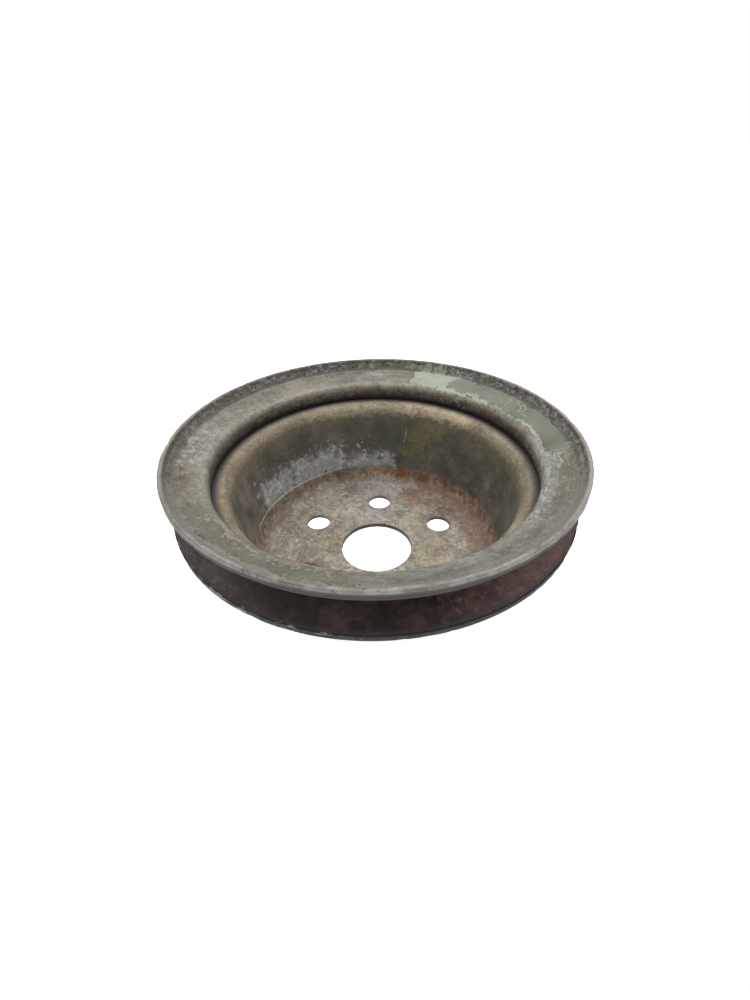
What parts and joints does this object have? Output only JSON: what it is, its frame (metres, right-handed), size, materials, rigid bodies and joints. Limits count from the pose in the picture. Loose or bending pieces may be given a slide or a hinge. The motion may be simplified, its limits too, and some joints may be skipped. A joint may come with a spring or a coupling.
{
  "type": "v belt pulley",
  "caption": "Pressed-steel single-groove V-belt pulley: a deep drawn hub cup with a rear belt flange, a raised-lip front flange ring, and a flat floor with a pilot hole and bolt holes.",
  "frame": {"origin": "middle of the pilot hole, on the rear mounting face of the floor", "axes": "+Z along the pulley's axis, from the mounting face to the open side; +Y close to one bolt hole, which lies 3.3 degrees from it towards +X"},
  "size_m": [0.15, 0.15, 0.057],
  "materials": {
    "hub_cup": "old dark olive paint worn to brown-grey steel, light rust and white oxide",
    "front_flange": "sage-green paint worn through to grey-brown steel, with chips and fine ring scratches",
    "root_weld": "dark rusted weld metal"
  },
  "bodies": {
    "root": {"hub_cup": "hub_cup", "front_flange": "front_flange", "root_weld": "root_weld"}
  },
  "joints": []
}
